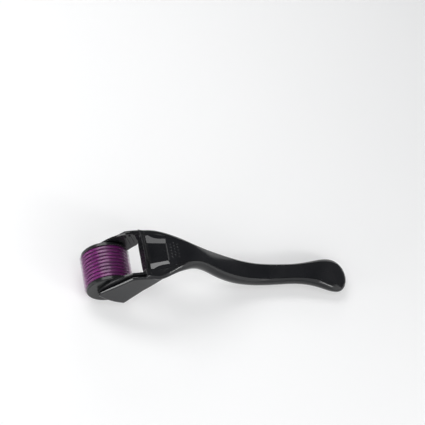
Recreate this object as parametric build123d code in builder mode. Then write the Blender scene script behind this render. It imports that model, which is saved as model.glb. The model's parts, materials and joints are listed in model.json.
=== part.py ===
from build123d import *
import os
from math import pi, radians, tan

# Derma roller lying on its drum and its tail.
# +X runs from the drum to the tail, +Y along the drum's axis, +Z up.
# The origin is on the floor, below the middle of the object's length.

# ---- driving dimensions, in millimetres ----
overall_length = 137.4
head_width = 26.0            # over the two cheeks
needle_rows = 10
needles_per_row = 54
tip_radius = 11.6            # from the axle to the needle tips
ring_radius = 10.7           # purple rings, between the needles
needle_root_radius = 10.2
core_radius = 7.0            # hub that carries the stack
disc_thickness = 0.25
ring_width = 1.53
ring_bevel = 0.3
cap_radius = 10.8
cap_width = 1.7
axle_radius = 1.5
running_clearance = 0.06     # between the pin and the turning bores
fixed_clearance = 0.03       # between the pin and what holds it
stack_clearance = 0.05       # between the hub and what is stacked on it
drum_side_gap = 0.3          # between a cap and the arm beside it
plate_thickness = 0.9        # inner plate of each arm
groove_width = 0.7           # between the inner plate and the cheek
boss_radius = 3.2            # holds the end of the pin in the cheek
edge_round = 0.8             # along the cheeks' outer edges
wall = 1.7                   # shells of the handle
seam_gap = 0.12              # between the cover and the body
seam_depth = 1.4             # how deep the cover sits below the ridge line
seam_inset = 0.3             # from the ridge line to the cover's edge
bridge_front = 12.8          # behind the axle
bridge_back = 14.9
bar_width = 0.55             # the two bars across the bridge, and the groove between them
bar_rise = 0.7
window_corner = 2.5          # radius, where the bridge meets the arms
rib_width = 0.8              # ribs across the inner faces of the arms
rib_height = 0.5
rib_pitch = 2.1
rib_count = 3
dish_width = 11.5            # floor of the dish, beside the bridge
dish_end_width = 9.0
dish_reach = 9.8             # length of the floor
dish_depth = 1.3             # beside the bridge, below the ridge line
dish_rise = 9.0              # degrees, so that the floor runs out towards the neck
dish_flank = 20.0            # degrees, slope of the two sides
dot_radius = 0.5             # grip dots, as domes sunk into the cover
dot_rise = 0.22
dot_pitch = 1.6
dot_columns = 3
dots_per_column = 5
first_dot_column = 26.2      # behind the axle

# ---- places worked out from them ----
axle_x = -overall_length / 2 + tip_radius
axle_z = tip_radius
tail_end = overall_length - tip_radius
stack_width = needle_rows * disc_thickness + (needle_rows - 1) * ring_width
row_pitch = disc_thickness + ring_width
cap_face = stack_width / 2 + cap_width
plate_inner = cap_face + drum_side_gap
plate_outer = plate_inner + plate_thickness
cheek_inner = plate_outer + groove_width
cheek_outer = head_width / 2
pin_end = (cheek_inner + cheek_outer) / 2

# Sections of the handle: distance behind the axle, height of the middle above the axle,
# half the width and half the height.
stations = [
    (bridge_front, 16.1, 12.9, 3.2),
    (18.0, 15.3, 12.9, 3.7),
    (23.0, 15.4, 12.0, 4.2),
    (28.5, 15.9, 9.7, 4.5),
    (33.5, 15.3, 7.8, 4.7),
    (38.7, 13.7, 6.1, 4.8),
    (44.5, 10.6, 5.4, 4.8),
    (51.0, 6.2, 5.8, 4.9),
    (57.5, 2.2, 6.2, 4.9),
    (64.0, -1.1, 6.2, 4.8),
    (71.0, -3.6, 5.9, 4.5),
    (79.0, -5.1, 5.5, 4.2),
    (89.0, -5.2, 5.1, 4.1),
    (99.0, -4.7, 5.2, 4.1),
    (106.0, -4.8, 6.3, 4.2),
    (112.0, -5.7, 7.8, 4.3),
    (117.0, -7.0, 8.7, 4.2),
    (121.5, -8.0, 8.0, 3.5),
    (124.4, -8.5, 5.2, 2.5),
    (tail_end, -8.8, 1.8, 1.1),
]
shoulder_out = 0.72          # place of the ridge line, in halves of the width and the height
shoulder_up = 0.74
crown_up = 0.9               # height of the crown between the ridge lines
hollow_from = 33.0           # the sealed hollow inside the handle, behind the axle
hollow_to = 118.0


def side_plane(y):
    """Plane across Y at the axle: its x runs along +X and its y along +Z."""
    return Plane(origin=(axle_x, y, axle_z), x_dir=(1, 0, 0), z_dir=(0, -1, 0))


def section_plane(x):
    """Plane across X, a distance behind the axle: its x runs along +Y and its y along +Z."""
    return Plane(origin=(axle_x + x, 0, axle_z), x_dir=(0, 1, 0), z_dir=(1, 0, 0))


def ridge_point(middle, half_width, half_height):
    """Where the crowned top meets the side, on the +Y half of a section."""
    return shoulder_out * half_width, middle + shoulder_up * half_height


def handle_section(x, middle, half_width, half_height):
    """Crowned top between two ridge lines, and a full round underside."""
    ridge_y, ridge_z = ridge_point(middle, half_width, half_height)
    with BuildSketch(section_plane(x)) as section:
        with BuildLine():
            ThreePointArc((-ridge_y, ridge_z), (0, middle + crown_up * half_height), (ridge_y, ridge_z))
            Spline(
                (ridge_y, ridge_z),
                (half_width, middle),
                (0.72 * half_width, middle - 0.72 * half_height),
                (0, middle - half_height),
                (-0.72 * half_width, middle - 0.72 * half_height),
                (-half_width, middle),
                (-ridge_y, ridge_z),
            )
        make_face()
    return section.sketch


def seam_section(x, middle, half_width, half_height, grow=0.0):
    """Space above the seam, a little narrower than the ridge lines."""
    ridge_y, ridge_z = ridge_point(middle, half_width, half_height)
    with BuildSketch(section_plane(x)) as section:
        with Locations((0, ridge_z - seam_depth - grow)):
            Rectangle(2 * (ridge_y - seam_inset + grow), 12, align=(Align.CENTER, Align.MIN))
    return section.sketch


outer_sections = [handle_section(*s) for s in stations]
hollow_sections = [
    handle_section(x, middle, half_width - wall, half_height - wall)
    for x, middle, half_width, half_height in stations
    if hollow_from < x < hollow_to
]
cover_sections = [seam_section(*s) for s in stations[:-1]]
seat_sections = [seam_section(*s, grow=seam_gap) for s in stations[:-1]]

pieces = []


def finish(builder, name):
    """Labels a finished piece and keeps it for the export."""
    builder.part.label = name
    pieces.append(builder.part)


# ---- the handle: one outer form, parted into bridge, body and inlaid cover ----
with BuildPart() as handle_form:
    loft(outer_sections)

with BuildPart() as cavity:
    loft(hollow_sections)

with BuildPart() as cover_region:
    loft(cover_sections)

with BuildPart() as cover_seat:
    loft(seat_sections)

with BuildPart() as bridge_region:
    with Locations((axle_x + bridge_back, 0, axle_z)):
        Box(20, 2 * cheek_inner, 60, align=(Align.MAX, Align.CENTER, Align.CENTER))

# One arm of the fork, on the -Y side: a cheek that narrows towards both ends as seen from above,
# a web along its back edge that closes the groove, and a boss for the pin.
with BuildPart() as arm:
    with BuildSketch(side_plane(-cheek_inner)):
        with BuildLine():
            ThreePointArc((-5.5, -1.7), (1.2, -5.9), (8.8, -8.2))
            Polyline((8.8, -8.2), (16.7, 7.8), (21.0, 13.9), (22.6, 15.4))
            ThreePointArc((22.6, 15.4), (14.6, 16.5), (6.4, 15.3))
            Polyline((6.4, 15.3), (-5.0, 0.9), (-5.5, -1.7))
        make_face()
    extrude(amount=2 * (cheek_outer - cheek_inner))
    with BuildSketch(Plane.XY.offset(axle_z - 12)):
        with BuildLine():
            Spline(
                (axle_x - 7, -cheek_outer + 0.9),
                (axle_x + 2, -cheek_outer + 0.2),
                (axle_x + 10, -cheek_outer),
                (axle_x + 17, -cheek_outer + 0.2),
                (axle_x + 23, -cheek_outer + 1.2),
            )
            Polyline(
                (axle_x + 23, -cheek_outer + 1.2), (axle_x + 23, 0),
                (axle_x - 7, 0), (axle_x - 7, -cheek_outer + 0.9),
            )
        make_face()
    extrude(amount=40, mode=Mode.INTERSECT)
    long_edges = arm.faces().sort_by(Axis.Y)[0].edges().sort_by(SortBy.LENGTH)[-4:]
    fillet(long_edges, edge_round)
    with BuildSketch(side_plane(-plate_outer)):
        Polygon((6.4, -7.0), (8.2, -7.6), (16.2, 7.8), (20.5, 14.0), (14.4, 9.0), (6.4, -5.4), align=None)
        Circle(boss_radius)
    extrude(amount=groove_width)

with BuildPart() as handle_body:
    add(handle_form.part)
    add(cover_seat.part, mode=Mode.SUBTRACT)
    add(cavity.part, mode=Mode.SUBTRACT)
    add(bridge_region.part, mode=Mode.SUBTRACT)
    add(arm.part)
    mirror(arm.part, about=Plane.XZ)
    with Locations(side_plane(0)):
        Cylinder(axle_radius + fixed_clearance, 2 * pin_end, mode=Mode.SUBTRACT)
finish(handle_body, "handle_body")

# The dish on the hump: a flat floor between sloping sides, which runs out towards the neck.
dish_top = 3.0
dish_floor = Plane(
    origin=(axle_x + bridge_back, 0, axle_z + ridge_point(*stations[1][1:])[1] - dish_depth),
    x_dir=(1, 0, 0), z_dir=(0, 0, 1),
).rotated((0, -dish_rise, 0))

with BuildPart() as dish:
    for height in (0, dish_top):
        flare = height / tan(radians(dish_flank))
        with BuildSketch(dish_floor.offset(height)):
            Polygon(
                (-2, -dish_width / 2 - flare),
                (dish_reach, -dish_end_width / 2 - flare),
                (dish_reach, dish_end_width / 2 + flare),
                (-2, dish_width / 2 + flare),
                align=None,
            )
    loft()

dot_places = []
for column in range(dot_columns):
    for place in range(dots_per_column):
        x = axle_x + first_dot_column + column * dot_pitch
        y = (place - (dots_per_column - 1) / 2 + 0.5 * (column % 2)) * dot_pitch
        upright = Axis((x, y, 0), (0, 0, 1))
        crossings = [hit for face in handle_form.faces() for hit in face.find_intersection_points(upright)]
        top = max(point.Z for point, normal in crossings)
        dot_places.append((x, y, top + dot_rise - dot_radius))

with BuildPart() as handle_cover:
    add(handle_form.part)
    add(cover_region.part, mode=Mode.INTERSECT)
    add(cavity.part, mode=Mode.SUBTRACT)
    with Locations((axle_x + bridge_back, 0, axle_z)):
        Box(20, 40, 60, align=(Align.MAX, Align.CENTER, Align.CENTER), mode=Mode.SUBTRACT)
    add(dish.part, mode=Mode.SUBTRACT)
    with Locations(*dot_places):
        Sphere(dot_radius)
finish(handle_cover, "handle_cover")

with BuildPart() as fork_frame:
    with BuildSketch(side_plane(-plate_inner)):
        with BuildLine():
            ThreePointArc((6.2, 16.6), (-2.9, 8.2), (-5.4, -2.0))
            ThreePointArc((-5.4, -2.0), (1.0, -4.4), (6.8, -5.4))
            Polyline(
                (6.8, -5.4), (12.0, 3.3), (14.5, 6.6), (bridge_back, 12.5), (bridge_back, 17.2),
                (bridge_front, 17.5), (6.2, 16.6),
            )
        make_face()
    extrude(amount=plate_thickness)
    rib_line = Plane(
        origin=(axle_x + 8.4, -plate_inner, axle_z + 15.6), x_dir=(5.7, 0, -9.6), z_dir=(0, 1, 0)
    )
    with BuildSketch(rib_line):
        with Locations(*[(0, ((rib_count - 1) / 2 - number) * rib_pitch) for number in range(rib_count)]):
            Rectangle(8.5, rib_width, align=(Align.MIN, Align.CENTER))
    extrude(amount=rib_height)
    with BuildSketch(Plane.XY.offset(axle_z + 14)):
        with Locations((axle_x + bridge_front, -plate_inner)):
            Rectangle(window_corner, window_corner, align=(Align.MAX, Align.MIN))
        with Locations((axle_x + bridge_front - window_corner, window_corner - plate_inner)):
            Circle(window_corner, mode=Mode.SUBTRACT)
    extrude(amount=3.2)
    mirror(about=Plane.XZ)
    add(handle_form.part.intersect(bridge_region.part))
    ridge_y, ridge_z = ridge_point(*stations[0][1:])
    crown_z = stations[0][1] + crown_up * stations[0][3]
    for bar in range(2):
        with BuildSketch(section_plane(bridge_front + 0.1 + 2 * bar * bar_width)):
            with BuildLine():
                ThreePointArc(
                    (-ridge_y, ridge_z + bar_rise), (0, crown_z + bar_rise), (ridge_y, ridge_z + bar_rise)
                )
                Polyline(
                    (ridge_y, ridge_z + bar_rise), (ridge_y, ridge_z - 2),
                    (-ridge_y, ridge_z - 2), (-ridge_y, ridge_z + bar_rise),
                )
            make_face()
        extrude(amount=bar_width)
    with Locations(side_plane(0)):
        Cylinder(axle_radius + fixed_clearance, 2 * cheek_outer, mode=Mode.SUBTRACT)
finish(fork_frame, "fork_frame")

with BuildPart() as axle_pin:
    with Locations(side_plane(0)):
        Cylinder(axle_radius, 2 * pin_end)
    chamfer(axle_pin.edges(), 0.25)
finish(axle_pin, "axle_pin")

# ---- the drum: a hub, toothed discs with rings between them, and two caps ----
with BuildPart() as drum_core:
    with Locations(side_plane(0)):
        Cylinder(core_radius, stack_width)
        Cylinder(axle_radius + running_clearance, stack_width, mode=Mode.SUBTRACT)
finish(drum_core, "drum_core")


def toothed_outline(turn):
    """Disc with one pointed tooth for each needle of its row."""
    tooth_base = 2 * pi * needle_root_radius / needles_per_row * 0.55
    with BuildSketch(Plane.XY) as outline:
        Circle(needle_root_radius)
        with PolarLocations(0, needles_per_row, start_angle=turn):
            Polygon(
                (needle_root_radius - 0.3, -tooth_base / 2), (tip_radius, 0),
                (needle_root_radius - 0.3, tooth_base / 2), align=None,
            )
        Circle(core_radius + stack_clearance, mode=Mode.SUBTRACT)
    return outline.sketch


for row in range(needle_rows):
    start = -stack_width / 2 + row * row_pitch
    stagger = (row % 2) * 180 / needles_per_row
    outline = toothed_outline(stagger)
    with BuildPart() as needle_disc:
        extrude(side_plane(start + disc_thickness).location * outline, amount=disc_thickness)
    finish(needle_disc, f"needle_disc_{row + 1:02d}")

for gap in range(needle_rows - 1):
    start = -stack_width / 2 + gap * row_pitch + disc_thickness
    with BuildPart() as spacer_ring:
        with BuildSketch(side_plane(start + ring_width)):
            Circle(ring_radius)
            Circle(core_radius + stack_clearance, mode=Mode.SUBTRACT)
        extrude(amount=ring_width)
        rims = spacer_ring.edges().filter_by(GeomType.CIRCLE).group_by(SortBy.RADIUS)[-1]
        chamfer(rims, ring_bevel)
    finish(spacer_ring, f"spacer_ring_{gap + 1:02d}")

for name, side in (("end_cap_near", -1), ("end_cap_far", 1)):
    with BuildPart() as end_cap:
        with BuildSketch(side_plane(side * cap_face)):
            Circle(cap_radius)
            Circle(axle_radius + running_clearance, mode=Mode.SUBTRACT)
        extrude(amount=side * cap_width)
        outer_rim = end_cap.edges().filter_by(GeomType.CIRCLE).group_by(SortBy.RADIUS)[-1]
        chamfer(outer_rim.sort_by(Axis.Y)[-1 if side > 0 else 0], 0.4)
    finish(end_cap, name)

os.makedirs("parts", exist_ok=True)
for piece in pieces:
    export_step(piece, f"parts/{piece.label}.step")
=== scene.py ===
import json
import math

import bpy
from mathutils import Matrix, Vector

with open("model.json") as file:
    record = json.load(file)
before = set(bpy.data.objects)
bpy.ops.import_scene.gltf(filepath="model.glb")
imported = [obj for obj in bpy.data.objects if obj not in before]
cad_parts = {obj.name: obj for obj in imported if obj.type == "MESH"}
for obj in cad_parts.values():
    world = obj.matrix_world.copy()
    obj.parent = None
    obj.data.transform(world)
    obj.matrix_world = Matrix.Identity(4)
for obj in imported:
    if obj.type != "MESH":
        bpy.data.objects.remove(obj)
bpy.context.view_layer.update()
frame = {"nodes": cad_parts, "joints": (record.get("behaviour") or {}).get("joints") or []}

# ---- camera: the photograph's viewing angle ----
VIEW_AZIMUTH = -37.2    # degrees around Z, from the -Y side
VIEW_ELEVATION = 53.85  # degrees above the floor
VIEW_ROLL = 31.64       # degrees
VIEW_DISTANCE = 0.9     # metres
VIEW_SCALE = 2093       # picture points per metre, at the target
VIEW_TARGET = Vector((0.0002, 0, 0.0124))
VIEW_RIGHT = -0.0043    # metres that the camera is moved along its own right and up
VIEW_UP = 0.0271
PICTURE = 425           # picture points across
SENSOR = 36             # millimetres


def axes_matrix(right, up, back, place):
    """World matrix of a camera or lamp, which looks against its third axis."""
    return Matrix((
        (right.x, up.x, back.x, place.x),
        (right.y, up.y, back.y, place.y),
        (right.z, up.z, back.z, place.z),
        (0, 0, 0, 1),
    ))


def add_camera():
    azimuth = math.radians(VIEW_AZIMUTH)
    elevation = math.radians(VIEW_ELEVATION)
    back = Vector((
        math.sin(azimuth) * math.cos(elevation),
        -math.cos(azimuth) * math.cos(elevation),
        math.sin(elevation),
    ))
    level = Vector((math.cos(azimuth), math.sin(azimuth), 0))
    upright = back.cross(level)
    roll = math.radians(VIEW_ROLL)
    right = level * math.cos(roll) + upright * math.sin(roll)
    up = upright * math.cos(roll) - level * math.sin(roll)
    data = bpy.data.cameras.new("camera")
    data.sensor_width = SENSOR
    data.lens = VIEW_SCALE * VIEW_DISTANCE / PICTURE * data.sensor_width
    camera = bpy.data.objects.new("camera", data)
    camera.matrix_world = axes_matrix(
        right, up, back, VIEW_TARGET + back * VIEW_DISTANCE + right * VIEW_RIGHT + up * VIEW_UP
    )
    bpy.context.scene.collection.objects.link(camera)
    bpy.context.scene.camera = camera


# ---- materials: each one has its own noise for colour, roughness and relief ----
NOISE_LOW = 0.3          # most of a noise lies between these two values
NOISE_HIGH = 0.7
BLACK = (0, 0, 0)
WHITE = (1, 1, 1)
EDGE_ROUNDING = 0.00015  # metres
DUST_DEPTH = 1.5e-6
FLOW_DEPTH = 1.2e-5


class Shading:
    """A node tree around one Principled shader, in the object's own coordinates."""

    def __init__(self, name):
        self.material = bpy.data.materials.new(name)
        self.material.use_nodes = True
        self.tree = self.material.node_tree
        self.shader = self.tree.nodes["Principled BSDF"]
        self.place = self.tree.nodes.new("ShaderNodeTexCoord").outputs["Object"]

    def set(self, **values):
        """Sets constants on the shader's own sockets; an underscore stands for a space."""
        for socket, value in values.items():
            self.shader.inputs[socket.replace("_", " ")].default_value = value

    def stretched(self, scale):
        """The object's coordinates, scaled by axis: a noise is drawn out along the smallest scale."""
        mapping = self.tree.nodes.new("ShaderNodeMapping")
        mapping.inputs["Scale"].default_value = scale
        self.tree.links.new(self.place, mapping.inputs["Vector"])
        return mapping.outputs["Vector"]

    def noise(self, scale, detail=3.0, vector=None):
        noise = self.tree.nodes.new("ShaderNodeTexNoise")
        noise.inputs["Scale"].default_value = scale
        noise.inputs["Detail"].default_value = detail
        self.tree.links.new(vector or self.place, noise.inputs["Vector"])
        return noise.outputs["Fac"]

    def ramp(self, factor, *stops):
        """Colours a noise: two stops, each a place between 0 and 1 and a colour."""
        ramp = self.tree.nodes.new("ShaderNodeValToRGB")
        for element, (place, color) in zip(ramp.color_ramp.elements, stops):
            element.position = place
            element.color = (*color, 1)
        self.tree.links.new(factor, ramp.inputs["Fac"])
        return ramp.outputs["Color"]

    def map_range(self, value, from_min, from_max, to_min, to_max, interpolation="LINEAR"):
        mapped = self.tree.nodes.new("ShaderNodeMapRange")
        mapped.interpolation_type = interpolation
        mapped.inputs["From Min"].default_value = from_min
        mapped.inputs["From Max"].default_value = from_max
        mapped.inputs["To Min"].default_value = to_min
        mapped.inputs["To Max"].default_value = to_max
        self.tree.links.new(value, mapped.inputs["Value"])
        return mapped.outputs["Result"]

    def link(self, output, socket):
        self.tree.links.new(output, self.shader.inputs[socket])

    def relief(self, rounding_radius, *layers):
        """Rounds the edges a little, then stacks bumps: (height output, depth in metres) pairs."""
        rounding = self.tree.nodes.new("ShaderNodeBevel")
        rounding.inputs["Radius"].default_value = rounding_radius
        normal = rounding.outputs["Normal"]
        for height, depth in layers:
            bump = self.tree.nodes.new("ShaderNodeBump")
            bump.inputs["Distance"].default_value = depth
            self.tree.links.new(height, bump.inputs["Height"])
            self.tree.links.new(normal, bump.inputs["Normal"])
            normal = bump.outputs["Normal"]
        self.link(normal, "Normal")


def mix(color, other, part):
    """Colour that lies a part of the way from one to the other."""
    return tuple(a + (b - a) * part for a, b in zip(color, other))


def plastic(name, roughness, edge=EDGE_ROUNDING, flow_depth=FLOW_DEPTH):
    """Moulded plastic without its colour: hairline wear in the gloss, flow marks, dust, rounded edges."""
    shading = Shading(name)
    wear = shading.noise(900, 6, shading.stretched((1, 6, 6)))
    uneven = shading.map_range(wear, NOISE_LOW, NOISE_HIGH, roughness * 0.8, roughness * 1.35)
    shading.link(uneven, "Roughness")
    shading.relief(edge, (shading.noise(70, 2), flow_depth), (shading.noise(2600, 2), DUST_DEPTH))
    return shading


def gloss_black(name, color, roughness, edge=EDGE_ROUNDING, ior=1.42):
    """Black plastic with slightly paler clouds."""
    shading = plastic(name, roughness, edge)
    pale = mix(color, WHITE, 0.012)
    shading.link(shading.ramp(shading.noise(55, 4), (NOISE_LOW, color), (0.75, pale)), "Base Color")
    shading.set(IOR=ior)
    return shading.material


def ring_purple(name, color, deep):
    """Purple plastic in two shades that lets a little light through."""
    shading = plastic(name, 0.26, flow_depth=4e-6)
    shading.link(shading.ramp(shading.noise(240, 4), (0.32, deep), (0.7, color)), "Base Color")
    shading.set(IOR=1.5, Subsurface_Weight=0.12, Subsurface_Scale=0.0012)
    shading.set(Subsurface_Radius=(1.0, 0.25, 0.7))
    return shading.material


def steel(name, color, roughness, stretch):
    """Sheet or ground steel with a fine grain, drawn out by the stretch."""
    shading = Shading(name)
    shading.set(Metallic=1.0)
    lines = shading.noise(1500, 5, shading.stretched(stretch))
    dark = mix(color, BLACK, 0.25)
    shading.link(shading.ramp(lines, (NOISE_LOW, dark), (NOISE_HIGH, color)), "Base Color")
    uneven = shading.map_range(lines, NOISE_LOW, NOISE_HIGH, roughness * 0.8, roughness * 1.3)
    shading.link(uneven, "Roughness")
    shading.relief(0.00003, (lines, 4e-6))
    return shading.material


def paint_nodes():
    """Gives each CAD node the look whose key its name starts with."""
    looks = {
        "handle_body": gloss_black("handle_gloss", (0.0045, 0.0048, 0.006), 0.1, 0.0003, 1.37),
        "handle_cover": gloss_black("cover_gloss", (0.004, 0.0042, 0.006), 0.11, 0.00004),
        "fork_frame": gloss_black("fork_gloss", (0.005, 0.005, 0.006), 0.12),
        "end_cap": gloss_black("cap_satin", (0.007, 0.0075, 0.008), 0.2, ior=1.38),
        "spacer_ring": ring_purple("ring_purple", (0.15, 0.010, 0.125), (0.09, 0.006, 0.08)),
        "drum_core": ring_purple("core_purple", (0.07, 0.006, 0.05), (0.04, 0.003, 0.03)),
        "needle_disc": steel("needle_steel", (0.26, 0.16, 0.25), 0.42, (1, 0.2, 1)),
        "axle_pin": steel("pin_steel", (0.6, 0.6, 0.62), 0.25, (1, 0.1, 1)),
    }
    for name, node in frame["nodes"].items():
        look = next(looks[start] for start in looks if name.startswith(start))
        for slot in node.material_slots:
            slot.material = look


# ---- floor and lights ----
FLOOR_SIZE = 4     # metres
FLOOR_DIM = (0.7, 0.7, 0.7)
FLOOR_PALE = (0.73, 0.73, 0.73)
GLOW_FROM = 0.2    # metres from the origin, where the floor's glow starts to fall off
GLOW_TO = 0.55
GLOW_NEAR = 0.3    # emission strength inside the first distance
GLOW_BEYOND = 0.07


def add_floor():
    """Pale floor with a painted glow: its emission is strongest around the object and fades further out.
    """
    bpy.ops.mesh.primitive_plane_add(size=FLOOR_SIZE)
    floor = bpy.context.object
    floor.name = "floor"
    shading = Shading("floor_white")
    cloud = shading.noise(3, 2)
    shading.link(shading.ramp(cloud, (NOISE_LOW, FLOOR_DIM), (NOISE_HIGH, FLOOR_PALE)), "Base Color")
    distance = shading.tree.nodes.new("ShaderNodeVectorMath")
    distance.operation = "LENGTH"
    shading.tree.links.new(shading.place, distance.inputs[0])
    # painted glow: the floor's emission is GLOW_NEAR within GLOW_FROM of the origin and falls to
    # GLOW_BEYOND past GLOW_TO
    glow = shading.map_range(
        distance.outputs["Value"], GLOW_FROM, GLOW_TO, GLOW_NEAR, GLOW_BEYOND, "SMOOTHSTEP"
    )
    shading.link(glow, "Emission Strength")
    shading.set(Roughness=0.7, Emission_Color=(*WHITE, 1), Specular_IOR_Level=0.2)
    floor.data.materials.append(shading.material)


def add_softbox(name, aim, first, last, distance, width, radiance):
    """Area light that spans, as seen from aim, from the first direction to the last one."""
    first = Vector(first).normalized()
    last = Vector(last).normalized()
    direction = (first + last).normalized()
    across = (last - first).normalized()
    along = direction.cross(across)
    data = bpy.data.lights.new(name, "AREA")
    data.shape = "RECTANGLE"
    data.size = (last - first).length * distance
    data.size_y = width
    data.energy = radiance * math.pi * data.size * data.size_y
    lamp = bpy.data.objects.new(name, data)
    lamp.matrix_world = axes_matrix(across, along, direction, aim + direction * distance)
    bpy.context.scene.collection.objects.link(lamp)


def add_lights():
    """Soft lights, each placed for a reflection seen from the camera."""
    axle = Vector(frame["joints"][0]["pos_m"])
    hump = axle + Vector((0.02, 0, 0.018))
    neck = axle + Vector((0.055, 0, 0.004))
    tail = axle + Vector((0.113, -0.006, -0.003))
    # name, aim, first and last direction, distance and width in metres, radiance
    softboxes = (
        # the band along the drum, the far slope of the dish and the near one
        ("softbox_drum", axle, (-0.68, 0.46, 0.55), (0.03, 0.46, 0.88), 0.4, 0.14, 5.2),
        ("softbox_top", hump, (-0.09, -0.2, 0.97), (0.18, -0.2, 0.97), 0.42, 0.12, 4.2),
        ("card_back", hump, (0.05, 0.9, 0.41), (0.23, 0.9, 0.41), 0.45, 0.13, 5.2),
        # the near arm's front edge and the ridge on the tail
        ("card_front_left", axle, (-0.97, 0.25, 0.13), (-0.72, -0.72, 0.07), 0.5, 0.12, 13.0),
        ("card_tail", tail, (0.35, -0.66, 0.62), (0.68, -0.58, 0.46), 0.5, 0.05, 15.0),
        # the near side as a whole
        ("fill_front", axle, (-1.0, -0.9, 0.5), (1.3, -0.9, 0.5), 0.7, 0.55, 1.1),
        ("fill_right", neck, (0.55, -0.8, 0.22), (0.98, -0.2, 0.22), 0.7, 0.4, 1.5),
        ("fill_left", axle, (-1.0, -0.25, 0.6), (-0.6, -0.9, 0.6), 1.1, 0.4, 1.2),
    )
    for softbox in softboxes:
        add_softbox(*softbox)


def add_world():
    world = bpy.data.worlds.new("world")
    world.use_nodes = True
    background = world.node_tree.nodes["Background"]
    background.inputs["Color"].default_value = (0.92, 0.95, 1, 1)
    background.inputs["Strength"].default_value = 0.16
    bpy.context.scene.world = world


add_camera()
paint_nodes()
add_floor()
add_lights()
add_world()
bpy.context.scene.view_settings.view_transform = "Standard"
